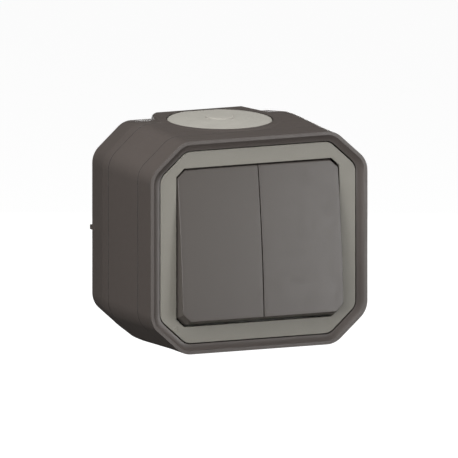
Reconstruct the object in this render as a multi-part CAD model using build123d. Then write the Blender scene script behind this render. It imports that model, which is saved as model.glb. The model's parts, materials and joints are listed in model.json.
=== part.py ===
from build123d import *
import os
from math import hypot, sqrt

# Surface-mounted two-gang rocker switch, millimetres.
# X is to the right, Y runs into the wall, Z is up. The origin is the centre of the wall face.

# ---- driving dimensions -------------------------------------------------------------------
WIDTH = 82.1            # front ridge, across flats
HEIGHT = 75.0
LEG_X = 12.3            # corner chamfer legs of the front ridge
LEG_Z = 11.1
CORNER_R = 8.0          # rounding of the octagon's corners
DEPTH = 52.3            # wall to front ridge
COVER_DEPTH = 11.3      # ridge to the front parting line
BODY_DEPTH = 34.8       # ridge to the rear parting line
TAPER_DEPTH = 40.0      # ridge to the start of the rear taper
OFFSET_COVER = 0.11     # growth of the outline at each of those planes
OFFSET_BODY = 0.92
OFFSET_TAPER = 0.87
OFFSET_WALL = -0.63
WALL = 2.5
FLOOR = 2.4
INNER = -2.5            # inner face of the shells, as an outline offset

FRAME_W = 73.8          # light frame, across flats
FRAME_H = 67.4
FRAME_LEG_X = 9.8
FRAME_LEG_Z = 8.9
FRAME_R = 5.0
FRAME_GAP = 0.3
FRAME_SET_BACK = 1.1    # frame face behind the ridge
FRAME_THICK = 4.0
OPENING_W = 61.7        # rocker opening in the frame
OPENING_H = 55.8
OPENING_LEG_X = 3.0
OPENING_LEG_Z = 2.8
LIP = 1.0               # thickness of the frame's front lip
RIDGE_W = 1.3           # flat ridge, up to the start of the inner bevel
BEVEL_DROP = 1.0
EDGE = 0.18             # small chamfer at the ridge and at the parting lines

CAP_OUTER_X = 30.4      # outer side of a rocker cap
CAP_SEAM = 0.15         # half the gap between the two caps
CAP_HALF_H = 26.5
CAP_LEG_X = 2.9
CAP_LEG_Z = 2.7
CAP_WALL = 1.6
CROWN_R = 458.0         # gentle curve of the cap's face
TILT = 5.76             # rest tilt from neutral, bottom edge out
PIVOT_DEPTH = 7.2       # pivot axis behind the ridge
CORNER_TO_PIVOT = 8.75  # cap's end corner in front of the pivot

AXLE_R = 1.5
RUNNING = 0.05          # radial clearance of every pivot
GANG_X = (CAP_OUTER_X + CAP_SEAM) / 2

POST_X = 30.5
POST_Z = 26.5
POST_R = 4.6
SCREW_R = 1.5
SCREW_HEAD_R = 2.5
SCREW_HEAD = 1.8

HOLE_PITCH = 60.0       # wall screw pitch
HOLE_R = 2.5
HOLE_SLOT = 9.0

GLAND_R = 18.3
GLAND_Y = -18.1         # gland axis, from the wall
GLAND_TILT = 1.5        # follows the draft of the box's top
GLAND_CHORD = 16.5      # straight rear edge of the gland
BOSS_R = 23.0
BOSS_FOOT = 17.0        # half width of the boss just past the wall
BOSS_ROUND = 2.2
RIB_X = 41.3            # small ribs at the middle of each side, by the wall
SEAT_DEPTH = 4.0        # gland flange recess plus the wall its neck passes

# ---- planes along Y -----------------------------------------------------------------------
Y_RIDGE = -DEPTH
Y_COVER = COVER_DEPTH - DEPTH
Y_BODY = BODY_DEPTH - DEPTH
Y_TAPER = TAPER_DEPTH - DEPTH
Y_FRAME = Y_RIDGE + FRAME_SET_BACK
Y_FRAME_BACK = Y_FRAME + FRAME_THICK
Y_PIVOT = Y_RIDGE + PIVOT_DEPTH
PLATE = 2.2
Y_PLATE = Y_COVER       # front of the mechanism plate
Y_PLATE_BACK = Y_PLATE + PLATE
Y_CASE_BACK = -20.0     # rear of the mechanism housing
SHEET = 0.8             # weather membrane
SEAL = 1.0
SHELF = 2.0

SIDES = (-1, 1)
SIDE_NAMES = {-1: "left", 1: "right"}

CAP_R = hypot(CAP_HALF_H, CORNER_TO_PIVOT)
CAP_APEX = CORNER_TO_PIVOT + CROWN_R - sqrt(CROWN_R ** 2 - CAP_HALF_H ** 2)
CAP_SKIRT = 1.5         # rear edge of the cap in front of the pivot

CASE_X = 27.5
CASE_Z = 19.5
CASE_WALL = 1.5
CASE_FLOOR = 1.8
Y_CASE_FLOOR = Y_CASE_BACK - CASE_FLOOR

# lever, measured from the pivot axis
LEVER_FRONT = -6.95
LEVER_THICK = 2.0
LEVER_X = 11.5
LEVER_Z = 15.0
LEVER_EAR = (8.6, 10.4)
PLATE_EAR = (6.2, 8.2)
EAR_R = 2.6
FINGER = 2.5            # half width of the finger
FINGER_END = 11.5
BORE_R = 1.3
BORE_START = 3.5
PLUNGER_BACK = 8.2
PLUNGER_TIP = 13.5

# contact see-saw
SEESAW_Y = -29.6        # its pivot axis
SEESAW_FRONT = 1.85     # strip's front face ahead of the axis
SEESAW_THICK = 0.8
SEESAW_HALF = 8.2
SEESAW_TILT = 6.0
PIN_R = 0.8
TIP_Z = 7.0
FIXED_Y = -29.0
TERMINAL_Z = 15.6
COMMON_X = 9.0          # common terminal, from the gang's centre towards the middle
BUTTON_X = 7.0          # release button, from the gang's centre outwards
BUTTON_Z = 10.0


def facing_front(y):
    """Sketch plane at depth y whose local x and y are +X and +Z, facing the front."""
    return Plane(origin=(0, y, 0), x_dir=(1, 0, 0), z_dir=(0, -1, 0))


def block(x0, x1, y0, y1, z0, z1):
    """Axis-aligned block between six planes."""
    size = (abs(x1 - x0), abs(y1 - y0), abs(z1 - z0))
    return Pos((x0 + x1) / 2, (y0 + y1) / 2, (z0 + z1) / 2) * Box(*size)


def rod_x(x0, x1, y, z, r):
    """Round rod along X."""
    return Pos((x0 + x1) / 2, y, z) * Rot(0, 90, 0) * Cylinder(r, abs(x1 - x0))


def rod_y(x, y0, y1, z, r):
    """Round rod along Y."""
    return Pos(x, (y0 + y1) / 2, z) * Rot(90, 0, 0) * Cylinder(r, abs(y1 - y0))


def chamfered(half_w, half_h, leg_x, leg_z, r=0.0):
    """Octagon outline as a face in local x, y, with optional corner rounding."""
    corners = [
        (half_w, half_h - leg_z), (half_w - leg_x, half_h),
        (leg_x - half_w, half_h), (-half_w, half_h - leg_z),
        (-half_w, leg_z - half_h), (leg_x - half_w, -half_h),
        (half_w - leg_x, -half_h), (half_w, leg_z - half_h),
    ]
    outline = make_face(Polyline(*corners, close=True))
    if r > 0:
        outline = fillet(outline.vertices(), r)
    return outline


def octagon(offset_by):
    """The box's outline, grown by a parallel offset."""
    slant = hypot(LEG_X, LEG_Z)
    leg_x = LEG_X + offset_by * (1 - (slant - LEG_X) / LEG_Z)
    leg_z = LEG_Z + offset_by * (1 - (slant - LEG_Z) / LEG_X)
    half_w = WIDTH / 2 + offset_by
    half_h = HEIGHT / 2 + offset_by
    return chamfered(half_w, half_h, leg_x, leg_z, CORNER_R + offset_by)


def prism(offset_by, y0, y1):
    """Straight octagonal prism from y0 forward to y1."""
    return extrude(facing_front(y0) * octagon(offset_by), amount=y0 - y1)


def taper(offset0, y0, offset1, y1):
    """Octagonal frustum between two planes."""
    sections = [facing_front(y0) * octagon(offset0), facing_front(y1) * octagon(offset1)]
    return loft(sections, ruled=True)


def stack(*sections):
    """Octagonal frusta through successive pairs of outline offset and depth."""
    shape = taper(*sections[0], *sections[1])
    for rear, front in zip(sections[1:], sections[2:]):
        shape += taper(*rear, *front)
    return shape


def frame_outline(grow):
    """Outline of the light frame, grown by a gap."""
    return chamfered(FRAME_W / 2 + grow, FRAME_H / 2 + grow, FRAME_LEG_X, FRAME_LEG_Z, FRAME_R + grow)


def opening(half_w, half_h, y0, y1):
    """Prism with the rocker opening's small corner chamfers."""
    face = chamfered(half_w, half_h, OPENING_LEG_X, OPENING_LEG_Z)
    return extrude(facing_front(y0) * face, amount=y0 - y1)


def solid_of(shape):
    """The single solid of a finished shape, or a compound of its solids."""
    solids = shape.solids()
    return solids[0] if len(solids) == 1 else Compound(children=list(solids))


# ---- cable gland and its seat --------------------------------------------------------------

def gland_place():
    """Frame of the gland: on the box's top, tilted with its draft."""
    top = HEIGHT / 2 + OFFSET_BODY
    return Pos(0, GLAND_Y, top) * Rot(GLAND_TILT, 0, 0)


def chord_disc(r, chord, z0, z1):
    """Disc with a straight rear edge, in the gland's own frame."""
    disc = Pos(0, 0, (z0 + z1) / 2) * Cylinder(r, z1 - z0)
    keep = block(-r, r, -r, chord, z0, z1)
    return disc & keep


def gland_boss():
    """Round boss that carries the gland and runs out to a straight foot at the wall."""
    reach = 3 - GLAND_Y
    foot = Line((-BOSS_FOOT, reach), (BOSS_FOOT, reach))
    outline = make_hull(Circle(BOSS_R).edges() + foot.edges())
    boss = extrude(outline, amount=-SEAT_DEPTH)
    top = boss.edges().group_by(Axis.Z)[-1]
    boss = gland_place() * fillet(top, BOSS_ROUND)
    return boss & block(-30, 30, -60, 0, 20, 45)


def gland_seat():
    """Recess and through hole for the gland."""
    recess = chord_disc(GLAND_R + FRAME_GAP, GLAND_CHORD + FRAME_GAP, -1.8, 3.0)
    hole = chord_disc(15.2, 15.0, -SEAT_DEPTH, 0.0)
    under = chord_disc(17.2, 15.2, -9.0, -SEAT_DEPTH)
    return gland_place() * (recess + hole + under)


def gland_membrane():
    """Rubber gland: domed flange, neck and inner lip, thin in the middle."""
    profile = Polyline(
        (0, -0.6), (4.2, -0.6), (11.5, -1.2), (13.6, -5.3), (16.8, -5.3), (16.8, -4.1),
        (15.1, -4.1), (15.1, -1.7), (GLAND_R, -1.7), (GLAND_R, 0.0), (11.5, 0.35),
        (4.9, 0.7), (4.6, 1.0), (0, 1.1), close=True,
    )
    ring = revolve(Plane.XZ * make_face(profile), Axis.Z)
    flange = block(-20, 20, -20, GLAND_CHORD, -1.71, 3)
    neck = block(-20, 20, -20, 14.9, -8, -1.7)
    return gland_place() * (ring & (flange + neck))


# ---- shells ---------------------------------------------------------------------------------

def posts(y0, y1, corners):
    """Screw posts at the given corner signs."""
    return [rod_y(sx * POST_X, y0, y1, sz * POST_Z, POST_R) for sx, sz in corners]


BODY_CORNERS = ((-1, 1), (1, -1))       # screws that join body and back box
PLATE_CORNERS = ((1, 1), (-1, -1))      # screws that hold the mechanism plate


def wall_slot(y0, y1, r, length):
    """Pair of slots along X at the wall screw pitch."""
    slot = SlotOverall(length, 2 * r)
    pair = [Pos(sx * HOLE_PITCH / 2, 0) * slot for sx in SIDES]
    return [extrude(facing_front(y0) * s, amount=y0 - y1) for s in pair]


def back_box():
    """Tapered rear shell with floor, posts, inner lip, seal groove and side ribs."""
    outer = stack((OFFSET_WALL, 0), (OFFSET_TAPER, Y_TAPER),
                  (OFFSET_BODY, Y_BODY + EDGE), (OFFSET_BODY - EDGE, Y_BODY))
    outer += gland_boss() & block(-30, 30, Y_BODY, 0, 20, 45)
    cavity = prism(OFFSET_WALL - WALL, -FLOOR, Y_BODY - 1)
    shell = outer - cavity
    lip = prism(INNER - 0.25, Y_BODY + 4, Y_BODY - 3) - prism(INNER - 1.6, 0, Y_BODY - 4)
    bosses = [p & prism(0, 0, Y_BODY) for p in posts(-FLOOR, Y_BODY, BODY_CORNERS + PLATE_CORNERS)]
    rings = wall_slot(-FLOOR + 0.5, -FLOOR - 1.2, HOLE_R + 2.2, HOLE_SLOT + 4.4)
    ribs = [block(sx * 39, sx * RIB_X, -1.6, 0, -0.4, 1.2) for sx in SIDES]
    shell = shell + lip + bosses + rings + ribs
    holes = wall_slot(1, -FLOOR - 2, HOLE_R, HOLE_SLOT)
    seats = wall_slot(-FLOOR - 0.2, -FLOOR - 2, HOLE_R + 1.5, HOLE_SLOT + 3.0)
    pilots = [rod_y(sx * POST_X, -8, Y_BODY - 1, sz * POST_Z, SCREW_R) for sx, sz in BODY_CORNERS]
    shell = shell - holes - seats - pilots - seal_ring(Y_BODY, OFFSET_BODY)
    return solid_of(shell - gland_seat() - lip_relief())


def lip_relief():
    """Room for the body's screw posts where they pass the back box's lip."""
    rods = [rod_y(sx * POST_X, Y_BODY, Y_BODY - 4, sz * POST_Z, POST_R + 0.3)
            for sx in SIDES for sz in SIDES]
    return Compound(children=rods)


def seal_ring(y, offset_by):
    """Square-section ring seal sunk behind a joint plane."""
    outer = prism(offset_by - 0.9, y + SEAL, y)
    inner = prism(offset_by - 0.9 - SEAL, y + SEAL, y)
    return outer - inner


def box_body():
    """Middle shell with screw posts, front seal groove and catches for the cover."""
    shell = stack((OFFSET_BODY - EDGE, Y_BODY), (OFFSET_BODY, Y_BODY - EDGE),
                  (OFFSET_COVER, Y_COVER + EDGE), (OFFSET_COVER - EDGE, Y_COVER))
    shell += gland_boss() & block(-30, 30, Y_COVER, Y_BODY, 20, 45)
    shell -= prism(INNER, Y_BODY + 1, Y_COVER - 1)
    short = posts(Y_BODY, -25.0, BODY_CORNERS)
    long_ones = posts(Y_BODY, Y_PLATE_BACK, PLATE_CORNERS)
    shell += [p & prism(-1, 0, Y_COVER) for p in short + long_ones]
    for sx, sz in BODY_CORNERS:
        shell -= rod_y(sx * POST_X, 0, -26, sz * POST_Z, SCREW_R)
    for sx, sz in PLATE_CORNERS:
        shell -= rod_y(sx * POST_X, Y_PLATE_BACK + 10, Y_PLATE_BACK, sz * POST_Z, SCREW_R)
    for sx in SIDES:
        for z in (-16.0, 16.0):
            shell -= catch(sx, z, 0.3)
    return solid_of(shell - seal_ring(Y_COVER, OFFSET_COVER) - gland_seat())


def catch(sx, z, room):
    """Barb of one snap arm of the front cover, grown by the room round it."""
    x0 = WIDTH / 2 + INNER - 0.2
    x1 = WIDTH / 2 + INNER + 0.5 + room
    return block(sx * x0, sx * x1, Y_COVER + 1.9 - room, Y_COVER + 3.1 + room, z - 3 - room, z + 3 + room)


def front_cover():
    """Front shell: raised ridge, inner bevel, shelf for the frame and snap arms."""
    outer = stack((OFFSET_COVER - EDGE, Y_COVER), (OFFSET_COVER, Y_COVER - EDGE),
                  (0, Y_RIDGE + EDGE), (-EDGE, Y_RIDGE))
    shell = outer - prism(INNER, Y_COVER + 1, Y_FRAME_BACK + SHELF)
    inner_edge = facing_front(Y_RIDGE + BEVEL_DROP) * frame_outline(FRAME_GAP)
    outer_edge = facing_front(Y_RIDGE - 0.01) * octagon(-RIDGE_W)
    bevel = loft([inner_edge, outer_edge], ruled=True)
    pocket_face = facing_front(Y_FRAME_BACK) * frame_outline(FRAME_GAP)
    pocket = extrude(pocket_face, amount=Y_FRAME_BACK - Y_RIDGE + 1)
    window = opening(32.4, 28.9, Y_COVER, Y_RIDGE - 1)
    shell = shell - bevel - pocket - window
    arm_x = WIDTH / 2 + INNER - 0.2
    for sx in SIDES:
        for z in (-16.0, 16.0):
            y0, y1 = Y_COVER + 3.1, Y_FRAME_BACK + 1
            shell += block(sx * (arm_x - 1.2), sx * arm_x, y0, y1, z - 3, z + 3)
            shell += catch(sx, z, 0.0)
    return solid_of(shell)


def support_frame():
    """Light frame round the rockers, with a thin front lip."""
    plate = extrude(facing_front(Y_FRAME_BACK) * frame_outline(0), amount=FRAME_THICK)
    front = opening(OPENING_W / 2, OPENING_H / 2, Y_FRAME_BACK, Y_FRAME - 1)
    back = opening(OPENING_W / 2 + 0.6, OPENING_H / 2 + 0.7, Y_FRAME_BACK, Y_FRAME + LIP)
    return solid_of(plate - front - back)


def wall_hole_seals():
    """Rubber washers in the two slot seats."""
    outer = wall_slot(-FLOOR - 0.2, -FLOOR - 1.6, HOLE_R + 1.5, HOLE_SLOT + 3.0)
    inner = wall_slot(0, -6, HOLE_R, HOLE_SLOT)
    return Compound(children=[solid_of(o - i) for o, i in zip(outer, inner)])


def screw(x, z, y_head, y_tip):
    """Pan-head screw with its head to the front and a cross recess."""
    body = rod_y(x, y_head, y_head - SCREW_HEAD, z, SCREW_HEAD_R) + rod_y(x, y_tip, y_head, z, SCREW_R)
    front = y_head - SCREW_HEAD
    for dx, dz in ((1.6, 0.35), (0.35, 1.6)):
        body -= block(x - dx, x + dx, front - 1, front + 0.9, z - dz, z + dz)
    return solid_of(body)


def body_screws():
    return Compound(children=[screw(sx * POST_X, sz * POST_Z, -25.0, -8.5) for sx, sz in BODY_CORNERS])


def mechanism_screws():
    tip = Y_PLATE_BACK + 9.5
    return Compound(children=[screw(sx * POST_X, sz * POST_Z, Y_PLATE, tip) for sx, sz in PLATE_CORNERS])


# ---- mechanism plate, membrane and housing --------------------------------------------------

def mechanism_plate():
    """Carrier plate with two bearing ears and a finger window for each gang."""
    plate = prism(INNER - 1.9, Y_PLATE_BACK, Y_PLATE)
    for sx, sz in PLATE_CORNERS:
        plate -= rod_y(sx * POST_X, Y_PLATE_BACK, Y_PLATE, sz * POST_Z, SCREW_R)
    for side in SIDES:
        xc = side * GANG_X
        plate -= block(xc - 3.1, xc + 3.1, Y_PLATE_BACK, Y_PLATE, -3.6, 3.6)
        for ear_side in SIDES:
            x0, x1 = (xc + ear_side * e for e in PLATE_EAR)
            ear = block(x0, x1, Y_PLATE, Y_PIVOT, -EAR_R, EAR_R) + rod_x(x0, x1, Y_PIVOT, 0, EAR_R)
            plate += ear - rod_x(x0, x1, Y_PIVOT, 0, AXLE_R)
    return solid_of(plate)


def weather_membrane():
    """Rubber sheet on the plate, with a collar round each finger window."""
    sheet = opening(29.0, 24.0, Y_PLATE, Y_PLATE - SHEET)
    for side in SIDES:
        xc = side * GANG_X
        sheet += block(xc - 4.2, xc + 4.2, Y_PLATE, Y_PLATE - 1.4, -4.6, 4.6)
        sheet -= block(xc - 3.4, xc + 3.4, Y_PLATE, Y_PLATE - 3, -3.8, 3.8)
        for ear_side in SIDES:
            x0, x1 = (xc + ear_side * e for e in PLATE_EAR)
            sheet -= block(min(x0, x1) - 0.1, max(x0, x1) + 0.1, Y_PLATE, Y_PLATE - 3, -2.7, 2.7)
    return solid_of(sheet)


def mechanism_housing():
    """Insulating case with two chambers, wire holes and a bridge over each button."""
    case = block(-CASE_X, CASE_X, Y_PLATE_BACK, Y_CASE_BACK, -CASE_Z, CASE_Z)
    case = fillet(case.edges().filter_by(Axis.Y), 2.0)
    inner = CASE_X - CASE_WALL
    for side in SIDES:
        case -= block(side * 0.8, side * inner, Y_PLATE_BACK, Y_CASE_FLOOR,
                      CASE_WALL - CASE_Z, CASE_Z - CASE_WALL)
    for side in SIDES:
        xc = side * GANG_X
        for z in (-TERMINAL_Z, TERMINAL_Z):
            case -= rod_y(xc, Y_CASE_FLOOR, Y_CASE_BACK, z, 1.4)
        case -= rod_y(xc - side * COMMON_X, Y_CASE_FLOOR, Y_CASE_BACK, 0, 1.4)
        xb = xc + side * BUTTON_X
        case -= block(xb - 2.3, xb + 2.3, Y_CASE_FLOOR, Y_CASE_BACK, BUTTON_Z - 2.8, BUTTON_Z + 2.8)
        bridge = block(xb - side * 3.6, side * inner, -29.6, -28.4, BUTTON_Z - 3.5, CASE_Z - CASE_WALL)
        case += bridge
    return solid_of(case)


# ---- rocker cap, lever, axle, plunger -------------------------------------------------------
# These are drawn round the pivot axis in neutral and then turned to the rest position.

def at_rest(shape, side):
    """Move a shape from the pivot's own frame to a gang, tilted to rest."""
    return Pos(side * GANG_X, Y_PIVOT, 0) * Rot(-TILT, 0, 0) * shape


def cap_block(inset, half_x):
    """Crowned face and ends rolled round the pivot, shrunk by an inset."""
    body = block(-half_x, half_x, -12, -CAP_SKIRT, -30, 30)
    crown = rod_x(-20, 20, CROWN_R - CAP_APEX, 0, CROWN_R - inset)
    ends = rod_x(-20, 20, 0, 0, CAP_R - inset)
    return body & crown & ends


def corner_cutter(side, sz, inset):
    """Slab beyond the chamfer plane at one outer corner of a cap."""
    half_x = (CAP_OUTER_X - CAP_SEAM) / 2
    start = Vector(side * (half_x - inset), -CORNER_TO_PIVOT, sz * (CAP_HALF_H - CAP_LEG_Z - inset / 2))
    along = Vector(-side * CAP_LEG_X, 0, sz * CAP_LEG_Z)
    inward = Vector(0, 5.7, sz * 1.7)
    normal = along.cross(inward)
    if normal.dot(Vector(side, 0, sz)) < 0:
        normal = -normal
    return Plane(origin=start, z_dir=normal) * Pos(0, 0, 10) * Box(60, 60, 20)


def rocker_cap(side):
    """Hollow key cap with two seat pads and four snap hooks for the lever."""
    half_x = (CAP_OUTER_X - CAP_SEAM) / 2
    cap = cap_block(0, half_x)
    hollow = cap_block(CAP_WALL, half_x - CAP_WALL)
    for sz in SIDES:
        cap -= corner_cutter(side, sz, 0)
        hollow -= corner_cutter(side, sz, CAP_WALL)
    cap -= hollow
    root = LEVER_FRONT - 1.2
    hook = LEVER_FRONT + LEVER_THICK + 0.05
    for sz in SIDES:
        cap += block(-8, 8, root, LEVER_FRONT, sz * 9, sz * 12)
        for sx in SIDES:
            cap += block(sx * 11.6, sx * 12.8, root, hook + 0.75, sz * 6.5, sz * 10.5)
            cap += block(sx * 11.0, sx * 11.6, hook, hook + 0.75, sz * 6.5, sz * 10.5)
    return solid_of(at_rest(cap, side))


def lever(side):
    """Carrier that the cap snaps on to: plate, two hinge ears and the bored finger."""
    back = LEVER_FRONT + LEVER_THICK
    body = block(-LEVER_X, LEVER_X, LEVER_FRONT, back, -LEVER_Z, LEVER_Z)
    body += block(-FINGER, FINGER, back, FINGER_END, -FINGER, FINGER)
    for sx in SIDES:
        x0, x1 = (sx * e for e in LEVER_EAR)
        body += block(x0, x1, back, 0, -EAR_R, EAR_R) + rod_x(x0, x1, 0, 0, EAR_R)
    body -= rod_x(-15, 15, 0, 0, AXLE_R + RUNNING)
    body -= rod_y(0, BORE_START, FINGER_END + 1, 0, BORE_R)
    return solid_of(at_rest(body, side))


def axle(side):
    """Steel hinge pin."""
    reach = LEVER_EAR[1] + 0.5
    pin = rod_x(side * GANG_X - reach, side * GANG_X + reach, Y_PIVOT, 0, AXLE_R)
    return solid_of(chamfer(pin.edges().filter_by(GeomType.CIRCLE), 0.3))


def plunger(side):
    """Round-nosed plunger that slides in the lever's finger."""
    r = BORE_R - RUNNING
    pin = rod_y(0, PLUNGER_BACK, PLUNGER_TIP - r, 0, r) + Pos(0, PLUNGER_TIP - r, 0) * Sphere(r)
    return solid_of(at_rest(pin, side))


def coil(length, r, wire_r, turns):
    """Helical spring from z = 0 up to its length."""
    path = Helix(pitch=(length - 2 * wire_r) / turns, height=length - 2 * wire_r, radius=r)
    start = Plane(origin=path @ 0, z_dir=path % 0)
    return Pos(0, 0, wire_r) * sweep(start * Circle(wire_r), path=path)


def plunger_spring(side):
    """Spring between the bore's end and the plunger."""
    length = PLUNGER_BACK - BORE_START - 0.2
    spring = Pos(0, BORE_START + 0.1, 0) * Rot(-90, 0, 0) * coil(length, 0.95, 0.2, 6)
    return solid_of(at_rest(spring, side))


# ---- contacts -------------------------------------------------------------------------------

def on_seesaw(shape, side):
    """Turn a shape drawn round the see-saw's axis to its rest position."""
    return Pos(side * GANG_X, SEESAW_Y, 0) * Rot(SEESAW_TILT, 0, 0) * shape


def contact_rocker(side):
    """Brass see-saw strip with two ears round the pivot pin."""
    front = -SEESAW_FRONT
    strip = block(-2.5, 2.5, front, front + SEESAW_THICK, -SEESAW_HALF, SEESAW_HALF)
    for sx in SIDES:
        x0, x1 = sx * 1.9, sx * 2.5
        ear = block(x0, x1, front, 0, -1.4, 1.4) + rod_x(x0, x1, 0, 0, 1.4)
        strip += ear
    strip -= rod_x(-3, 3, 0, 0, PIN_R + RUNNING)
    return solid_of(on_seesaw(strip, side))


def contact_tips(side):
    """Silver tips on the rear of the see-saw's two arms."""
    rear = SEESAW_THICK - SEESAW_FRONT
    tips = [on_seesaw(rod_y(0, rear, rear + 0.6, sz * TIP_Z, 1.2), side) for sz in SIDES]
    return Compound(children=[solid_of(t) for t in tips])


def common_terminal(side):
    """Yoke with the see-saw's pivot pin, and the clamp cage of the common wire."""
    xc = side * GANG_X
    part = rod_x(xc - 4.4, xc + 4.4, SEESAW_Y, 0, PIN_R)
    for sx in SIDES:
        part += block(xc + sx * 3.3, xc + sx * 4.2, SEESAW_Y - 1.4, -25.6, -1.5, 1.5)
    far = xc - side * (COMMON_X + 2.2)
    part += block(far, xc + side * 4.2, -26.6, -25.6, -1.5, 1.5)
    part += cage(xc - side * COMMON_X, 0, -25.6)
    return solid_of(part)


def cage(x, z, y_front):
    """Open clamp cage round a wire hole, with its front wall at y_front."""
    outer = block(x - 2.2, x + 2.2, y_front, Y_CASE_FLOOR, z - 2.2, z + 2.2)
    return outer - block(x - 1.6, x + 1.6, y_front + 0.8, Y_CASE_FLOOR, z - 1.6, z + 1.6)


def fixed_contacts(side):
    """Two contact strips that end in clamp cages."""
    xc = side * GANG_X
    parts = []
    for sz in SIDES:
        z_cage = sz * TERMINAL_Z
        strip = block(xc - 2.2, xc + 2.2, FIXED_Y, FIXED_Y + 1.0, sz * 5.6, z_cage + sz * 1.4)
        leg = block(xc - 2.2, xc + 2.2, FIXED_Y, -25.5, z_cage - sz * 2.2, z_cage - sz * 1.4)
        tip = rod_y(xc, FIXED_Y - 0.1, FIXED_Y, sz * TIP_Z, 1.3)
        parts.append(solid_of(strip + leg + tip + cage(xc, z_cage, -26.0)))
    return Compound(children=parts)


def clamp_springs(side):
    """Bent leaf springs inside the three clamp cages."""
    xc = side * GANG_X
    spots = [(xc, -TERMINAL_Z), (xc, TERMINAL_Z), (xc - side * COMMON_X, 0)]
    parts = []
    for x, z in spots:
        path = [(-24.6, z - 1.55), (-22.2, z - 1.55), (-22.2, z - 1.25), (-24.2, z - 1.25),
                (-22.9, z + 0.9), (-23.2, z + 1.1), (-24.6, z - 1.1)]
        face = make_face(Polyline(*path, close=True))
        leaf = extrude(Plane(origin=(x - 1.2, 0, 0), x_dir=(0, 1, 0), z_dir=(1, 0, 0)) * face, amount=2.4)
        parts.append(solid_of(leaf))
    return Compound(children=parts)


# ---- wire release ---------------------------------------------------------------------------

def button_x(side):
    return side * (GANG_X + BUTTON_X)


def release_button(side):
    """Push button through the case floor, kept in by its flange."""
    x = button_x(side)
    body = block(x - 2, x + 2, -24.5, Y_CASE_BACK + 1.5, BUTTON_Z - 2.5, BUTTON_Z + 2.5)
    body += block(x - 2.8, x + 2.8, -23.4, Y_CASE_FLOOR, BUTTON_Z - 3.3, BUTTON_Z + 3.3)
    return solid_of(body)


def release_spring(side):
    """Return spring between the button and the bridge."""
    length = 28.4 - 24.5 - 0.2
    spring = Pos(button_x(side), -24.6, BUTTON_Z) * Rot(90, 0, 0) * coil(length, 1.3, 0.22, 5)
    return solid_of(spring)


def write(name, shape):
    """Write one node as a STEP file."""
    export_step(shape, f"parts/{name}.step")


def main():
    os.makedirs("parts", exist_ok=True)
    write("back_box", back_box())
    write("box_body", box_body())
    write("front_cover", front_cover())
    write("support_frame", support_frame())
    write("gland_membrane", solid_of(gland_membrane()))
    write("rear_seal", solid_of(seal_ring(Y_BODY, OFFSET_BODY) - gland_seat()))
    write("front_seal", solid_of(seal_ring(Y_COVER, OFFSET_COVER)))
    write("wall_hole_seals", wall_hole_seals())
    write("body_screws", body_screws())
    write("mechanism_screws", mechanism_screws())
    write("mechanism_plate", mechanism_plate())
    write("weather_membrane", weather_membrane())
    write("mechanism_housing", mechanism_housing())
    for side in SIDES:
        gang = SIDE_NAMES[side]
        write(f"{gang}_rocker", rocker_cap(side))
        write(f"{gang}_lever", lever(side))
        write(f"{gang}_axle", axle(side))
        write(f"{gang}_plunger", plunger(side))
        write(f"{gang}_plunger_spring", plunger_spring(side))
        write(f"{gang}_contact_rocker", contact_rocker(side))
        write(f"{gang}_contact_tips", contact_tips(side))
        write(f"{gang}_common_terminal", common_terminal(side))
        write(f"{gang}_fixed_contacts", fixed_contacts(side))
        write(f"{gang}_clamp_springs", clamp_springs(side))
        write(f"{gang}_release_button", release_button(side))
        write(f"{gang}_release_spring", release_spring(side))


main()
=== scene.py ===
import json
import math

import bmesh
import bpy
from mathutils import Matrix, Vector


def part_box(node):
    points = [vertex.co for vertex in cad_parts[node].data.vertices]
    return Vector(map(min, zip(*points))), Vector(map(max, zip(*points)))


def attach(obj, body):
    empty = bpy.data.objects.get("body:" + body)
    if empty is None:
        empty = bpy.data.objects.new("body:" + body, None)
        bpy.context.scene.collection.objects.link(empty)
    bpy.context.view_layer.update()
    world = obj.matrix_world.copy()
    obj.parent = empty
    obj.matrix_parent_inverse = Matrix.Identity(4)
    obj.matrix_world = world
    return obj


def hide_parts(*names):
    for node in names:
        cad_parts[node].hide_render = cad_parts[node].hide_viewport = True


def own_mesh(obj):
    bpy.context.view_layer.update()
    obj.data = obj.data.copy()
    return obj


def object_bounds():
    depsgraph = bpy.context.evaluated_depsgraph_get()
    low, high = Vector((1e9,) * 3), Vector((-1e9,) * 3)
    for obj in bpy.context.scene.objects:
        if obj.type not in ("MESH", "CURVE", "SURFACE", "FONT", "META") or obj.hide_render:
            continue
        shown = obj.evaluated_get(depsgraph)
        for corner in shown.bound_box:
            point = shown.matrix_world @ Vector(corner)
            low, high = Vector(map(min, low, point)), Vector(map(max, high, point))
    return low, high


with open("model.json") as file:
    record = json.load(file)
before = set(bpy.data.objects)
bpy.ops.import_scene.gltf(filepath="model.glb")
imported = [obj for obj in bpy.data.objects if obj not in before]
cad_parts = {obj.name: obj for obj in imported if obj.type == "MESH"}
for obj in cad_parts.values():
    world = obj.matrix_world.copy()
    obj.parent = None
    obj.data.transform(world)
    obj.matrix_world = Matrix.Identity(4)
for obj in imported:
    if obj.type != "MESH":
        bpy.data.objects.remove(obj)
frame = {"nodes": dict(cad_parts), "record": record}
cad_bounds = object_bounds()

# Surface-mounted two-gang rocker switch. Pieces are drawn in millimetres and made in metres.
# X is to the right, Y runs into the wall, Z is up.
MM = 0.001
SIDES = {"left": -1, "right": 1}


def box_mm(node):
    """A CAD node's lowest and highest corners in millimetres."""
    low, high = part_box(node)
    return Vector(low) / MM, Vector(high) / MM


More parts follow.
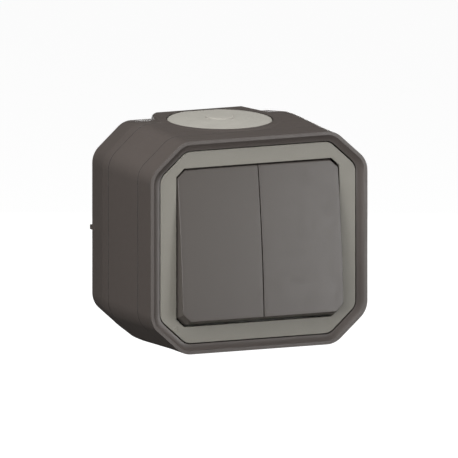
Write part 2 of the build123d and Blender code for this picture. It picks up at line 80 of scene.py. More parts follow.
# ---- planes and sizes read from the frame ---------------------------------------------------
COVER_LOW, COVER_HIGH = box_mm("front_cover")
BODY_LOW, BODY_HIGH = box_mm("box_body")
FRAME_LOW, FRAME_HIGH = box_mm("support_frame")
JOINTS = {joint["name"]: joint for joint in frame["record"]["behaviour"]["joints"]}
PIVOT = Vector(JOINTS["left_rocker_tilt"]["pos_m"]) / MM
TILT = JOINTS["left_rocker_tilt"]["range_deg"][1] / 2

Y_RIDGE = COVER_LOW.y
Y_COVER = BODY_LOW.y                         # parting line of the front cover
Y_BODY = BODY_HIGH.y                         # parting line of the rear shell
Y_FRAME = FRAME_LOW.y
Y_FRAME_BACK = FRAME_HIGH.y

# Sizes that the shells share. Half sizes run from the switch's axis, legs along X and Z.
OFFSET_COVER = 0.11                          # the outline grows this much down to the front joint
OFFSET_BODY = 0.92                           # and this much down to the rear joint
HALF_W = COVER_HIGH.x - OFFSET_COVER
HALF_H = COVER_HIGH.z - OFFSET_COVER
LEG_X, LEG_Z, CORNER_R = 12.3, 11.1, 8.0     # corner chamfers of the box
FRAME_HALF_W, FRAME_HALF_H = FRAME_HIGH.x, FRAME_HIGH.z
FRAME_LEG_X, FRAME_LEG_Z, FRAME_R = 9.8, 8.9, 5.0
OPENING_HALF_W, OPENING_HALF_H = 30.85, 27.9
OPENING_LEG_X, OPENING_LEG_Z, OPENING_R = 3.0, 2.8, 0.25
GAP = 0.3                                    # between the light frame and the cover


# ---- camera ---------------------------------------------------------------------------------
CAMERA_AZIMUTH = 23.6                        # degrees to the left of straight on
CAMERA_ELEVATION = 9.75                      # degrees above level
CAMERA_WIDTH = 158.97                        # millimetres across the picture
CAMERA_DISTANCE = 700
AIM_RIGHT, AIM_UP = -10.49, 4.88             # the picture's middle, from the middle of the ridge plane


def add_camera():
    """Orthographic camera to the left of the switch and a little above it."""
    azimuth = math.radians(CAMERA_AZIMUTH)
    elevation = math.radians(CAMERA_ELEVATION)
    right = Vector((math.cos(azimuth), -math.sin(azimuth), 0))
    back = Vector((-math.sin(azimuth) * math.cos(elevation),
                   -math.cos(azimuth) * math.cos(elevation), math.sin(elevation)))
    up = back.cross(right)
    aim = Vector((0, Y_RIDGE, 0)) + AIM_RIGHT * right + AIM_UP * up
    data = bpy.data.cameras.new("camera")
    data.type = "ORTHO"
    data.ortho_scale = CAMERA_WIDTH * MM
    camera = bpy.data.objects.new("camera", data)
    bpy.context.collection.objects.link(camera)
    turn = Matrix((right, up, back)).transposed().to_4x4()
    camera.matrix_world = Matrix.Translation((aim + CAMERA_DISTANCE * back) * MM) @ turn
    bpy.context.scene.camera = camera


add_camera()


# ---- outlines and lofts ---------------------------------------------------------------------
ARC_STEPS = 10          # segments of each rounded corner of an outline
ROUND_STEPS = 5         # segments of each small edge rounding
SHARP = 40.0            # degrees past which an edge isn't smoothed


def rounded(corners, radius):
    """Closed outline with an arc of the same number of points at each corner."""
    points = []
    count = len(corners)
    for i, corner in enumerate(corners):
        here = Vector(corner)
        before = (Vector(corners[i - 1]) - here).normalized()
        after = (Vector(corners[(i + 1) % count]) - here).normalized()
        half = before.angle(after) / 2
        reach = radius / math.tan(half)
        centre = here + (before + after).normalized() * (radius / math.sin(half))
        start = here + before * reach - centre
        end = here + after * reach - centre
        sweep = start.angle_signed(end)
        for k in range(ARC_STEPS + 1):
            turn = Matrix.Rotation(-sweep * k / ARC_STEPS, 2)
            points.append(centre + turn @ start)
    return points


def chamfered(half_w, half_h, leg_x, leg_z, radius):
    """Rectangle with four chamfered corners, as eight rounded corners."""
    inner_x = half_w - leg_x
    inner_z = half_h - leg_z
    corners = [
        (half_w, inner_z), (inner_x, half_h), (-inner_x, half_h), (-half_w, inner_z),
        (-half_w, -inner_z), (-inner_x, -half_h), (inner_x, -half_h), (half_w, -inner_z),
    ]
    return rounded(corners, radius)


def grown_leg(leg, other, grow):
    """A chamfer's leg after its outline has grown by a parallel offset."""
    slant = math.hypot(leg, other)
    return leg + grow * (1 - (slant - leg) / other)


def box_outline(grow):
    """The box's outline, grown by a parallel offset."""
    leg_x = grown_leg(LEG_X, LEG_Z, grow)
    leg_z = grown_leg(LEG_Z, LEG_X, grow)
    return chamfered(HALF_W + grow, HALF_H + grow, leg_x, leg_z, CORNER_R + grow)


def frame_outline(grow):
    """The light frame's outline, grown by a gap."""
    half_w, half_h = FRAME_HALF_W + grow, FRAME_HALF_H + grow
    return chamfered(half_w, half_h, FRAME_LEG_X, FRAME_LEG_Z, FRAME_R + grow)


def opening_outline(grow):
    """The rocker opening's outline, grown by an offset."""
    half_w, half_h = OPENING_HALF_W + grow, OPENING_HALF_H + grow
    return chamfered(half_w, half_h, OPENING_LEG_X, OPENING_LEG_Z, OPENING_R)


def blend_outlines(first, second, share):
    """Outline part of the way from one outline to another."""
    return [a.lerp(b, share) for a, b in zip(first, second)]


def ring(outline, y):
    """Outline placed at one depth."""
    return [Vector((p.x, y, p.y)) for p in outline]


def mesh_object(name, points, faces):
    """Closed mesh object from points in millimetres, with its faces turned outwards."""
    mesh = bpy.data.meshes.new(name)
    mesh.from_pydata([p * MM for p in points], [], faces)
    work = bmesh.new()
    work.from_mesh(mesh)
    bmesh.ops.remove_doubles(work, verts=work.verts, dist=1e-7)
    bmesh.ops.recalc_face_normals(work, faces=work.faces)
    work.to_mesh(mesh)
    work.free()
    piece = bpy.data.objects.new(name, mesh)
    bpy.context.collection.objects.link(piece)
    return piece


def ring_faces(count, rings, closed):
    """Quads that join successive rings, and the last to the first if closed."""
    faces = []
    last = rings if closed else rings - 1
    for r in range(last):
        this, following = r * count, ((r + 1) % rings) * count
        for i in range(count):
            j = (i + 1) % count
            faces.append((this + i, this + j, following + j, following + i))
    return faces


def loft(name, rings, closed):
    """Object through a list of rings of equal length, closed on itself or capped at both ends."""
    count = len(rings[0])
    faces = ring_faces(count, len(rings), closed)
    if not closed:
        faces.append(tuple(range(count)))
        faces.append(tuple(range((len(rings) - 1) * count, len(rings) * count)))
    return mesh_object(name, [p for r in rings for p in r], faces)


def soften(piece, angle=SHARP):
    """Smooth shading with weighted normals and sharp edges past an angle."""
    work = bmesh.new()
    work.from_mesh(piece.data)
    limit = math.radians(angle)
    for face in work.faces:
        face.smooth = True
    for edge in work.edges:
        edge.smooth = len(edge.link_faces) == 2 and edge.calc_face_angle() < limit
    work.to_mesh(piece.data)
    work.free()
    weights = piece.modifiers.new("weights", "WEIGHTED_NORMAL")
    weights.keep_sharp = True
    weights.weight = 100


def quarter(steps=ROUND_STEPS):
    """Shares of a quarter circle at each step: how far in, and how far behind the front."""
    turns = [math.pi / 2 * k / steps for k in range(steps + 1)]
    return [(1 - math.cos(t), 1 - math.sin(t)) for t in turns]


# ---- materials ------------------------------------------------------------------------------
# Noise scales are features per metre. Bump heights and edge radii are in metres.
FLOW_CLOUDS, SPECKS, MATTE_PATCHES = 55.0, 5200.0, 240.0
COARSE_GRAIN, FINE_GRAIN = 2400.0, 6500.0
PLASTIC_EDGE = 0.00025
DUST_CLOUDS, DUST_PATCHES, RUBBER_GRAIN = 140.0, 420.0, 3600.0
RUBBER_EDGE, RUBBER_BUMP = 0.0002, 0.000010
DRAWN_LINES, DULL_SPOTS, METAL_BUMP = 1800.0, 300.0, 0.000002
ROUND_EDGE, FLAT_FACE = 0.93, 0.999          # how well the bevelled and the flat normal agree


class Nodes:
    """Small helper that adds and links shader nodes of one material."""

    def __init__(self, name):
        self.material = bpy.data.materials.new(name)
        self.material.use_nodes = True
        self.tree = self.material.node_tree
        self.shader = self.tree.nodes["Principled BSDF"]
        self.place = self.add("ShaderNodeTexCoord").outputs["Object"]

    def add(self, kind, **values):
        node = self.tree.nodes.new(kind)
        for key, value in values.items():
            setattr(node, key, value)
        return node

    def link(self, source, target):
        self.tree.links.new(source, target)

    def noise(self, scale, detail, roughness=0.5):
        node = self.add("ShaderNodeTexNoise")
        node.inputs["Scale"].default_value = scale
        node.inputs["Detail"].default_value = detail
        node.inputs["Roughness"].default_value = roughness
        self.link(self.place, node.inputs["Vector"])
        return node.outputs["Fac"]

    def spread(self, source, low, high, from_low=0.3, from_high=0.7):
        """Map a noise to a range of values."""
        node = self.add("ShaderNodeMapRange")
        node.inputs["From Min"].default_value = from_low
        node.inputs["From Max"].default_value = from_high
        node.inputs["To Min"].default_value = low
        node.inputs["To Max"].default_value = high
        self.link(source, node.inputs["Value"])
        return node.outputs["Result"]

    def mix(self, share, first, second):
        """Colour between two colours or sockets by a share."""
        node = self.add("ShaderNodeMix", data_type="RGBA")
        self.link(share, node.inputs["Factor"])
        for key, value in (("A", first), ("B", second)):
            socket = [s for s in node.inputs if s.name == key and s.type == "RGBA"][0]
            if isinstance(value, tuple):
                socket.default_value = (*value, 1)
            else:
                self.link(value, socket)
        return [s for s in node.outputs if s.type == "RGBA"][0]

    def bump(self, height, distance, strength, under=None):
        node = self.add("ShaderNodeBump")
        node.inputs["Distance"].default_value = distance
        node.inputs["Strength"].default_value = strength
        self.link(height, node.inputs["Height"])
        if under is not None:
            self.link(under, node.inputs["Normal"])
        return node.outputs["Normal"]

    def edges(self, radius):
        """How far the surface is from flat within a radius: 0 on flats, towards 1 on edges."""
        bevel = self.add("ShaderNodeBevel", samples=4)
        bevel.inputs["Radius"].default_value = radius
        flat = self.add("ShaderNodeNewGeometry").outputs["Normal"]
        dot = self.add("ShaderNodeVectorMath", operation="DOT_PRODUCT")
        self.link(bevel.outputs["Normal"], dot.inputs[0])
        self.link(flat, dot.inputs[1])
        return self.spread(dot.outputs["Value"], 1.0, 0.0, ROUND_EDGE, FLAT_FACE)


def shade(colour, factor):
    """Colour made lighter or darker."""
    return tuple(min(1.0, c * factor) for c in colour)


def moulded_plastic(name, colour, rough, grain=0.000012, edge=0.8):
    """Spark-eroded plastic with fine grain and faint flow clouds; its edges and creases are tinted by
    a factor: below 1 as painted shade, above 1 as edge wear.
    """
    nodes = Nodes(name)
    clouds = nodes.spread(nodes.noise(FLOW_CLOUDS, 3.0), 0.0, 1.0)
    specks = nodes.spread(nodes.noise(SPECKS, 1.0), 0.0, 1.0, 0.35, 0.65)
    base = nodes.mix(clouds, shade(colour, 0.975), shade(colour, 1.025))
    speckled = nodes.mix(specks, shade(colour, 0.94), base)
    # Edges and creases darkened by a factor below 1: painted shade for the dark grooves at the shells'
    # joints; a factor above 1, as on the light frame, lightens edges as wear.
    edge_shade_and_wear = nodes.mix(nodes.edges(PLASTIC_EDGE), speckled, shade(colour, edge))
    nodes.link(edge_shade_and_wear, nodes.shader.inputs["Base Color"])
    matte = nodes.spread(nodes.noise(MATTE_PATCHES, 3.0), rough - 0.035, rough + 0.035)
    nodes.link(matte, nodes.shader.inputs["Roughness"])
    coarse = nodes.bump(nodes.noise(COARSE_GRAIN, 3.0, 0.6), grain, 0.8)
    fine = nodes.bump(nodes.noise(FINE_GRAIN, 1.0), grain * 0.6, 0.6, coarse)
    nodes.link(fine, nodes.shader.inputs["Normal"])
    nodes.shader.inputs["Specular IOR Level"].default_value = 0.5
    return nodes.material


def rubber(name, colour, rough):
    """Soft moulded rubber with a dusty, velvety surface."""
    nodes = Nodes(name)
    clouds = nodes.spread(nodes.noise(DUST_CLOUDS, 4.0), 0.0, 1.0)
    base = nodes.mix(clouds, shade(colour, 0.965), shade(colour, 1.03))
    dusty = nodes.mix(nodes.edges(RUBBER_EDGE), base, shade(colour, 1.1))
    nodes.link(dusty, nodes.shader.inputs["Base Color"])
    matte = nodes.spread(nodes.noise(DUST_PATCHES, 2.0), rough - 0.05, rough + 0.05)
    nodes.link(matte, nodes.shader.inputs["Roughness"])
    grain = nodes.bump(nodes.noise(RUBBER_GRAIN, 2.0), RUBBER_BUMP, 0.7)
    nodes.link(grain, nodes.shader.inputs["Normal"])
    nodes.shader.inputs["Specular IOR Level"].default_value = 0.35
    return nodes.material


def metal(name, colour, rough, stretch):
    """Drawn or stamped metal with fine lines, squeezed by the stretch, and a few dull spots."""
    nodes = Nodes(name)
    mapping = nodes.add("ShaderNodeMapping")
    mapping.inputs["Scale"].default_value = stretch
    nodes.link(nodes.place, mapping.inputs["Vector"])
    lines = nodes.add("ShaderNodeTexNoise")
    lines.inputs["Scale"].default_value = DRAWN_LINES
    lines.inputs["Detail"].default_value = 3.0
    nodes.link(mapping.outputs["Vector"], lines.inputs["Vector"])
    dull = nodes.spread(nodes.noise(DULL_SPOTS, 3.0), 0.0, 1.0)
    nodes.link(nodes.mix(dull, shade(colour, 0.86), colour), nodes.shader.inputs["Base Color"])
    polish = nodes.spread(lines.outputs["Fac"], rough - 0.02, rough + 0.03)
    nodes.link(polish, nodes.shader.inputs["Roughness"])
    nodes.link(nodes.bump(lines.outputs["Fac"], METAL_BUMP, 0.5), nodes.shader.inputs["Normal"])
    nodes.shader.inputs["Metallic"].default_value = 1.0
    return nodes.material


ANTHRACITE = (0.088, 0.075, 0.068)
KEY_GREY = (0.080, 0.070, 0.063)
TAUPE = (0.238, 0.226, 0.195)
GLAND_GREY = (0.338, 0.325, 0.291)

MATERIALS = {
    "shell_plastic": moulded_plastic("shell_plastic", ANTHRACITE, 0.40),
    "key_plastic": moulded_plastic("key_plastic", KEY_GREY, 0.36, grain=0.000009),
    "frame_plastic": moulded_plastic("frame_plastic", TAUPE, 0.46, grain=0.000008, edge=1.02),
    "gland_rubber": rubber("gland_rubber", GLAND_GREY, 0.72),
    # Near-black seal rubber; the seals' beads show in the joints as painted shade.
    "seal_rubber": rubber("seal_rubber", (0.012, 0.012, 0.012), 0.75),
    "zinc_steel": metal("zinc_steel", (0.60, 0.60, 0.62), 0.34, (1, 1, 6)),
    "spring_steel": metal("spring_steel", (0.46, 0.47, 0.49), 0.28, (6, 6, 1)),
    "carrier_plastic": moulded_plastic("carrier_plastic", (0.58, 0.58, 0.55), 0.42),
    "lever_plastic": moulded_plastic("lever_plastic", (0.46, 0.46, 0.44), 0.40),
    "contact_brass": metal("contact_brass", (0.68, 0.48, 0.20), 0.30, (1, 5, 1)),
    "silver": metal("silver", (0.80, 0.80, 0.78), 0.25, (1, 1, 1)),
    "release_plastic": moulded_plastic("release_plastic", (0.66, 0.16, 0.03), 0.38),
}


def dress_nodes():
    """Give each CAD node the finish of its slot."""
    for part in frame["record"]["subparts"]:
        node = frame["nodes"][part["node"]]
        node.data.materials.clear()
        node.data.materials.append(MATERIALS[part["material_slot"]])


def finish_piece(piece, slot, body, *nodes):
    """Give a piece the material of its slot and its body, and hide the CAD nodes that it stands for.
    """
    piece.data.materials.append(MATERIALS[slot])
    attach(piece, body)
    if nodes:
        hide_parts(*nodes)


# ---- front cover ----------------------------------------------------------------------------
EDGE_BREAK = 0.18       # small chamfer at the parting line
OUTER_ROUND = 0.1       # rounding of the ridge's outer edge
RIDGE_END = 1.2         # width of the ridge's flat top
BEVEL_STEEP = math.sin(math.radians(36))     # slope of the hollow bevel at the ridge
BEVEL_SHALLOW = math.sin(math.radians(10))   # and at its foot
BEVEL_R = 5.6           # radius of the hollow
BEVEL_STEPS = 10
FOOT_STEP, FOOT_DROP = 0.1, 0.12             # small step at the bevel's foot: width and depth
WINDOW_HALF_W, WINDOW_HALF_H, WINDOW_R = 32.4, 28.9, 0.4
SHELF = 2.0             # thickness of the shelf behind the light frame
SHELL_WALL = 2.5
COVER_SHARP = 25.0      # degrees past which the cover's edges aren't smoothed


def bevel_drop(share):
    """Depth of the hollow inner bevel at a share of its width."""
    slope = BEVEL_STEEP + (BEVEL_SHALLOW - BEVEL_STEEP) * share
    return BEVEL_R * (math.sqrt(1 - slope ** 2) - math.sqrt(1 - BEVEL_STEEP ** 2))


def front_cover():
    """Shell with a rounded ridge and a concave inner bevel down to the light frame."""
    rings = [
        ring(box_outline(OFFSET_COVER - EDGE_BREAK), Y_COVER),
        ring(box_outline(OFFSET_COVER), Y_COVER - EDGE_BREAK),
    ]
    for inwards, behind in quarter():
        rings.append(ring(box_outline(-OUTER_ROUND * inwards), Y_RIDGE + OUTER_ROUND * behind))
    rings.append(ring(box_outline(-RIDGE_END), Y_RIDGE))
    ridge_edge = box_outline(-RIDGE_END)
    foot = frame_outline(GAP + FOOT_STEP)
    for k in range(1, BEVEL_STEPS + 1):
        share = k / BEVEL_STEPS
        rings.append(ring(blend_outlines(ridge_edge, foot, share), Y_RIDGE + bevel_drop(share)))
    rings.append(ring(frame_outline(GAP), Y_RIDGE + bevel_drop(1) + FOOT_DROP))
    rings.append(ring(frame_outline(GAP), Y_FRAME_BACK))
    window = chamfered(WINDOW_HALF_W, WINDOW_HALF_H, OPENING_LEG_X, OPENING_LEG_Z, WINDOW_R)
    rings.append(ring(window, Y_FRAME_BACK))
    rings.append(ring(window, Y_FRAME_BACK + SHELF))
    rings.append(ring(box_outline(-SHELL_WALL), Y_FRAME_BACK + SHELF))
    rings.append(ring(box_outline(-SHELL_WALL), Y_COVER))
    piece = loft("front_cover_shell", rings, closed=True)
    soften(piece, COVER_SHARP)
    finish_piece(piece, "shell_plastic", "housing", "front_cover")


# ---- light frame ----------------------------------------------------------------------------
FRAME_EDGE = 0.14       # rounding of the front edges
FRAME_EDGE_STEPS = 3
LIP = 1.0               # thickness of the lip round the rockers
LIP_RECESS = 0.6        # how far the frame steps back behind the lip


def light_frame():
    """Trim frame with softened edges and a thin front lip round the rockers."""
    rings = [ring(frame_outline(0), Y_FRAME_BACK)]
    for inwards, behind in quarter(FRAME_EDGE_STEPS):
        rings.append(ring(frame_outline(-FRAME_EDGE * inwards), Y_FRAME + FRAME_EDGE * behind))
    for inwards, behind in reversed(quarter(FRAME_EDGE_STEPS)):
        rings.append(ring(opening_outline(FRAME_EDGE * inwards), Y_FRAME + FRAME_EDGE * behind))
    rings.append(ring(opening_outline(0), Y_FRAME + LIP))
    rings.append(ring(opening_outline(LIP_RECESS), Y_FRAME + LIP))
    rings.append(ring(opening_outline(LIP_RECESS), Y_FRAME_BACK))
    piece = loft("light_frame", rings, closed=True)
    soften(piece)
    finish_piece(piece, "frame_plastic", "housing", "support_frame")


# ---- joints between the shells --------------------------------------------------------------
SEAL_IN = 0.9           # the seal's outer face inside the outline
SEAL = 1.0              # the seal's width and depth
BEAD_IN = 0.02          # its thin near-black bead lies this deep, nearly flush: painted shade in the joint's groove
BEAD = 0.16             # half the bead's thickness
DIP = 2.4               # how far the rear seal dips under the gland
DIP_HALF_TOP = 23.6     # half the dip's width at its top
DIP_HALF_FLOOR = 23.0   # and at its floor


def dipped(outline):
    """Outline whose top side runs lower where it passes under the cable gland."""
    top = max(p.y for p in outline)
    last = max(i for i, p in enumerate(outline) if p.x > 0 and top - p.y < 0.01)
    under = [
        Vector((DIP_HALF_TOP, top)), Vector((DIP_HALF_FLOOR, top - DIP)),
        Vector((-DIP_HALF_FLOOR, top - DIP)), Vector((-DIP_HALF_TOP, top)),
    ]
    return outline[:last + 1] + under + outline[last + 1:]


def joint_seal(name, node, y, offset, under_gland):
    """Square rubber ring with a thin near-black bead set nearly flush in the joint: the seal itself,
    with its bead as painted shade for the groove's dark line.
    """
    seal_inside = SEAL_IN + SEAL
    section = [
        (BEAD_IN, -BEAD), (BEAD_IN, BEAD), (SEAL_IN, BEAD), (SEAL_IN, SEAL), (seal_inside, SEAL),
        (seal_inside, -BEAD),
    ]
    rings = []
    for inwards, behind in section:
        outline = box_outline(offset - inwards)
        rings.append(ring(dipped(outline) if under_gland else outline, y + behind))
    piece = loft(name, rings, closed=True)
    soften(piece)
    finish_piece(piece, "seal_rubber", "housing", node)


# ---- rocker caps ----------------------------------------------------------------------------
CAP_OUTER_X = 30.4      # the pair's outer edge
CAP_SEAM = 0.15         # half the gap between the two caps
GANG_X = (CAP_OUTER_X + CAP_SEAM) / 2        # a cap's middle
CAP_HALF_W = (CAP_OUTER_X - CAP_SEAM) / 2
CAP_HALF_H = 26.5
CAP_LEG_X, CAP_LEG_Z = 2.9, 2.7
CAP_WALL = 1.6
CAP_SKIRT = 1.5         # the rear edge lies this far in front of the pivot
CORNER_TO_PIVOT = 8.75  # depth from the face's ends to the pivot
CROWN_R = 458.0         # radius of the face from top to bottom
CAP_BOW = 0.7           # the pair of caps is bowed this much from side to side
CAP_EDGE = 0.3          # rounding of the face's edges
CAP_EDGE_STEPS = 4
CAP_WALL_STEPS = 8
CAP_ROWS = 44
CORNER_ROWS = 4         # rows within the chamfered corners
CAP_COLUMNS = 26


def crown_y(z, depth):
    """Y, from the pivot, of the crowned face at a height, or of a face that lies deeper."""
    return -(CORNER_TO_PIVOT + (CAP_HALF_H ** 2 - z ** 2) / (2 * CROWN_R)) + depth


def bow_y(side, x):
    """How far the pair's side-to-side bow moves a point of the face."""
    return CAP_BOW * (((side * GANG_X + x) / CAP_OUTER_X) ** 2 - 0.5)


def cap_limits(side, z, inset):
    """Left and right limits of the cap's face at a height, inside its chamfered outer corners."""
    half_w, half_h = CAP_HALF_W - inset, CAP_HALF_H - inset
    leg_z = grown_leg(CAP_LEG_Z, CAP_LEG_X, -inset)
    leg_x = grown_leg(CAP_LEG_X, CAP_LEG_Z, -inset)
    cut = max(0.0, abs(z) - (half_h - leg_z)) / leg_z * leg_x
    left = -half_w + (cut if side < 0 else 0)
    right = half_w - (cut if side > 0 else 0)
    return left, right


def cap_heights(inset):
    """Heights of the rows of a cap's face, with one at each chamfer's start."""
    half_h = CAP_HALF_H - inset
    leg_z = grown_leg(CAP_LEG_Z, CAP_LEG_X, -inset)
    middle = half_h - leg_z
    corner = [middle + leg_z * k / CORNER_ROWS for k in range(1, CORNER_ROWS + 1)]
    rows = [-middle + 2 * middle * k / CAP_ROWS for k in range(CAP_ROWS + 1)]
    return [-z for z in reversed(corner)] + rows + corner


def cap_grid(side, inset, depth):
    """Grid of points on the cap's face, row by row from the bottom."""
    grid = []
    for z in cap_heights(inset):
        left, right = cap_limits(side, z, inset)
        row = [left + (right - left) * k / CAP_COLUMNS for k in range(CAP_COLUMNS + 1)]
        grid.append([Vector((x, crown_y(z, depth) + bow_y(side, x), z)) for x in row])
    return grid


def border(grid):
    """The grid's outer points in order, once round."""
    bottom = grid[0]
    right = [row[-1] for row in grid[1:]]
    top = list(reversed(grid[-1][:-1]))
    left = [row[0] for row in reversed(grid[1:-1])]
    return bottom + right + top + left


def grow_back(point, y):
    """Wall point moved back to y: heights stretch so that the ends roll round the pivot."""
    end_r2 = CAP_HALF_H ** 2 + CORNER_TO_PIVOT ** 2
    stretch = math.sqrt(end_r2 - y * y) / math.sqrt(end_r2 - CORNER_TO_PIVOT ** 2)
    return Vector((point.x, y, point.z * max(1.0, stretch)))


def wall_ring(edge, share):
    """Ring at a share of the way from a face's edge to the cap's rear edge."""
    return [grow_back(p, p.y + (-CAP_SKIRT - p.y) * share) for p in edge]


def cap_outside(side):
    """Rings over the rounded edge of a cap's face and down its outer walls."""
    rings = []
    for inwards, behind in reversed(quarter(CAP_EDGE_STEPS)):
        edge = border(cap_grid(side, CAP_EDGE * inwards, 0.0))
        rings.append([Vector((p.x, p.y + CAP_EDGE * behind, p.z)) for p in edge])
    rim = rings[-1]
    for k in range(1, CAP_WALL_STEPS + 1):
        rings.append(wall_ring(rim, k / CAP_WALL_STEPS))
    return rings


def grid_faces(rows, start):
    """Quads of a cap's grid whose first point has the number start."""
    columns = CAP_COLUMNS + 1
    faces = []
    for r in range(rows - 1):
        for c in range(CAP_COLUMNS):
            a = start + r * columns + c
            faces.append((a, a + 1, a + columns + 1, a + columns))
    return faces


def rocker_cap(gang):
    """Hollow key: crowned face, rounded edges, chamfered outer corners and rolled ends."""
    side = SIDES[gang]
    face = cap_grid(side, CAP_EDGE, 0.0)
    inner_face = cap_grid(side, CAP_WALL, CAP_WALL)
    inner_edge = border(inner_face)
    rings = cap_outside(side) + [wall_ring(inner_edge, share) for share in (1.0, 0.5, 0.0)]
    points, faces = [], []
    for grid in (face, inner_face):
        faces += grid_faces(len(grid), len(points))
        points += [p for row in grid for p in row]
    start = len(points)
    points += [p for r in rings for p in r]
    walls = ring_faces(len(rings[0]), len(rings), closed=False)
    faces += [tuple(start + i for i in quad) for quad in walls]
    piece = mesh_object(f"{gang}_rocker_cap", points, faces)
    tilt = Matrix.Rotation(math.radians(-TILT), 4, "X")
    piece.data.transform(Matrix.Translation((side * GANG_X * MM, PIVOT.y * MM, 0)) @ tilt)
    soften(piece)
    finish_piece(piece, "key_plastic", f"{gang}_rocker", f"{gang}_rocker")


# ---- cable gland ----------------------------------------------------------------------------
GLAND_R = 18.3
GLAND_Y = -18.1         # the gland's axis
GLAND_TILT = 1.5        # degrees
GLAND_TOP = 38.42       # height of the flange's plane on the gland's axis
GLAND_CHORD = 16.5      # the straight rear edge, behind the axis
NECK_CHORD = 14.9       # and that of the neck below it
GLAND_SEGMENTS = 128
# Pairs of radius and height, from the middle of the top outwards and back below.
BUTTON_TOP = [(0.6, 1.14), (2.4, 1.13), (4.2, 1.10), (4.65, 1.04), (4.85, 0.90)]
BUTTON_GROOVE = [(4.92, 0.55), (5.0, 0.47), (5.1, 0.50), (5.3, 0.60)]
DOME = [(8.5, 0.47), (11.15, 0.33)]
RING_GROOVE = [(11.35, 0.24), (11.5, 0.22), (11.65, 0.24), (11.9, 0.29)]
FLANGE = [(15.0, 0.08), (17.5, -0.12), (17.95, -0.20), (18.2, -0.36), (GLAND_R, -0.6), (GLAND_R, -1.7)]
NECK = [(15.1, -1.7), (15.1, -4.1)]
CATCH = [(16.6, -4.1), (16.8, -4.3), (16.8, -5.1), (16.6, -5.3), (13.6, -5.3)]
UNDERSIDE = [(11.5, -1.2), (4.2, -0.6), (0.6, -0.6)]


def gland_profile():
    """Radius, height and rear limit of each ring, from the top's middle to the underside's."""
    top = BUTTON_TOP + BUTTON_GROOVE + DOME + RING_GROOVE + FLANGE
    under = NECK + CATCH + UNDERSIDE
    return [(r, z, GLAND_CHORD) for r, z in top] + [(r, z, NECK_CHORD) for r, z in under]


def cable_gland():
    """Domed rubber membrane with a raised middle, a fine ring groove and a straight rear edge."""
    turns = [2 * math.pi * k / GLAND_SEGMENTS for k in range(GLAND_SEGMENTS)]
    rings = []
    for r, z, chord in gland_profile():
        rings.append([Vector((r * math.cos(t), min(r * math.sin(t), chord), z)) for t in turns])
    piece = loft("cable_gland", rings, closed=False)
    tilt = Matrix.Rotation(math.radians(GLAND_TILT), 4, "X")
    piece.data.transform(Matrix.Translation((0, GLAND_Y * MM, GLAND_TOP * MM)) @ tilt)
    soften(piece)
    finish_piece(piece, "gland_rubber", "housing", "gland_membrane")


# ---- coil springs ---------------------------------------------------------------------------

def coil_spring(node, body):
    """Copy of a spring's CAD mesh, riding rigidly on its moving part."""
    mesh = frame["nodes"][node].data.copy()
    mesh.materials.clear()
    piece = bpy.data.objects.new(f"{node}_coil", mesh)
    bpy.context.collection.objects.link(piece)
    finish_piece(piece, "spring_steel", body, node)
    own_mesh(piece)


# ---- mark on the light frame ----------------------------------------------------------------
DROPLET_HALF_W, DROPLET_HALF_H = 0.95, 1.25
DROPLET_TAPER = 1.5     # power that draws the droplet's top to a point
DROPLET_CENTRE = Vector((-31.0, -28.2))
DROPLET_TILT = -42      # degrees
DROPLET_STEPS = 40
DROPLET_SECTION = ((1.0, 0.03), (1.0, -0.10), (0.92, -0.14), (0.80, -0.14), (0.74, -0.03))


def droplet_mark():
    """Small plain droplet with a raised rim, on the frame's lower left corner."""
    outline = []
    for k in range(DROPLET_STEPS):
        turn = 2 * math.pi * k / DROPLET_STEPS
        narrow = math.sin(turn / 2) ** DROPLET_TAPER
        across = DROPLET_HALF_W * math.sin(turn) * narrow
        outline.append(Vector((across, DROPLET_HALF_H * math.cos(turn))))
    tilt = Matrix.Rotation(math.radians(DROPLET_TILT), 2)
    rings = []
    for size, behind in DROPLET_SECTION:
        rings.append(ring([DROPLET_CENTRE + tilt @ (p * size) for p in outline], Y_FRAME + behind))
    piece = loft("droplet_mark", rings, closed=False)
    soften(piece)
    finish_piece(piece, "frame_plastic", "housing")


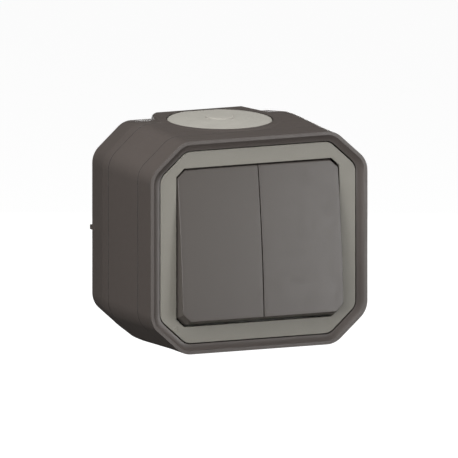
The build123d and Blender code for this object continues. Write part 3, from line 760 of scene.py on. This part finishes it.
# ---- stage and light ------------------------------------------------------------------------
FLOOR_SIZE = 6.0        # metres
FLOOR_BELOW = 0.08      # metres below the switch
FLOOR_GREY = 0.12
FLOOR_GLOW = 0.95
WORLD_GLOW = 0.02
SWITCH_MIDDLE = (0, -30, 0)                  # points that the lights aim at
SWITCH_FACE = (0, -50, 0)
WALL_SIDE = (0, -20, 0)
LIGHTS = (
    # name, place, aim, size in millimetres, watts
    ("upper_left", (-420, -480, 420), SWITCH_MIDDLE, (300, 300), 1.2),
    ("left", (-590, -320, 50), SWITCH_MIDDLE, (400, 400), 3.15),
    ("top", (-60, -160, 600), SWITCH_MIDDLE, (500, 300), 4.1),
    ("front_left", (-460, -580, 40), SWITCH_FACE, (300, 300), 0.6),
    ("sheen", (270, -640, -60), SWITCH_FACE, (260, 360), 0.45),
    ("sheen_right", (430, -540, -20), SWITCH_FACE, (260, 400), 1.9),
    ("right", (640, 130, 40), WALL_SIDE, (300, 240), 2.6),
    ("back", (300, 640, -20), WALL_SIDE, (440, 90), 0.9),
)


def floor():
    """Plain pale floor below the switch."""
    material = bpy.data.materials.new("pale_floor")
    material.use_nodes = True
    shader = material.node_tree.nodes["Principled BSDF"]
    shader.inputs["Base Color"].default_value = (FLOOR_GREY, FLOOR_GREY, FLOOR_GREY, 1)
    shader.inputs["Roughness"].default_value = 0.9
    shader.inputs["Emission Color"].default_value = (1, 1, 1, 1)
    shader.inputs["Emission Strength"].default_value = FLOOR_GLOW
    height = cad_bounds[0][2] - FLOOR_BELOW
    bpy.ops.mesh.primitive_plane_add(size=FLOOR_SIZE, location=(0, 0, height))
    plane = bpy.context.object
    plane.name = "floor"
    plane.data.materials.append(material)
    plane.visible_diffuse = False
    plane.visible_glossy = False


def softbox(name, place, aim, size, power):
    """Rectangular soft light aimed at a point, in millimetres."""
    data = bpy.data.lights.new(name, "AREA")
    data.shape = "RECTANGLE"
    data.size = size[0] * MM
    data.size_y = size[1] * MM
    data.energy = power
    light = bpy.data.objects.new(name, data)
    bpy.context.collection.objects.link(light)
    light.location = Vector(place) * MM
    direction = (Vector(aim) - Vector(place)).normalized()
    light.rotation_euler = direction.to_track_quat("-Z", "Y").to_euler()


def studio():
    """Dim white surroundings and soft lights all round."""
    world = bpy.data.worlds.new("studio")
    world.use_nodes = True
    background = world.node_tree.nodes["Background"]
    background.inputs["Color"].default_value = (1, 1, 1, 1)
    background.inputs["Strength"].default_value = WORLD_GLOW
    bpy.context.scene.world = world
    for light in LIGHTS:
        softbox(*light)
    bpy.context.scene.view_settings.view_transform = "Standard"


dress_nodes()
front_cover()
light_frame()
for gang in SIDES:
    rocker_cap(gang)
    coil_spring(f"{gang}_plunger_spring", f"{gang}_plunger")
    coil_spring(f"{gang}_release_spring", f"{gang}_release")
cable_gland()
joint_seal("rear_joint_seal", "rear_seal", Y_BODY, OFFSET_BODY, under_gland=True)
joint_seal("front_joint_seal", "front_seal", Y_COVER, OFFSET_COVER, under_gland=False)
droplet_mark()
floor()
studio()
